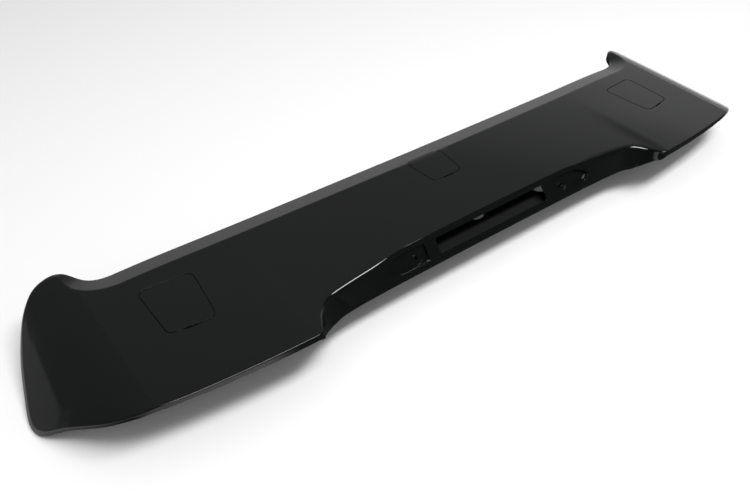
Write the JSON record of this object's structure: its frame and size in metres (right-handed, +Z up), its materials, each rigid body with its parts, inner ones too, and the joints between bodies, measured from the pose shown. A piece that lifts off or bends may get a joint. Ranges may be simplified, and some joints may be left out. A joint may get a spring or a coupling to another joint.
{
  "type": "roof spoiler",
  "caption": "Wide gloss black roof spoiler with bent-down ends, flush hatch covers and a slanted lamp window in its rear notch.",
  "frame": {"origin": "middle of the footprint, on the floor that the two ends rest on", "axes": "+X along the span, +Y forward to the roof, +Z up"},
  "size_m": [1.3102, 0.3074, 0.0924],
  "materials": {
    "gloss_black": "high gloss black paint",
    "moulded_black": "moulded matt black"
  },
  "bodies": {
    "root": {"wing_shell": "gloss_black", "lower_panel": "moulded_black", "hatch_left": "gloss_black", "hatch_middle": "gloss_black", "hatch_right": "gloss_black"}
  },
  "joints": []
}
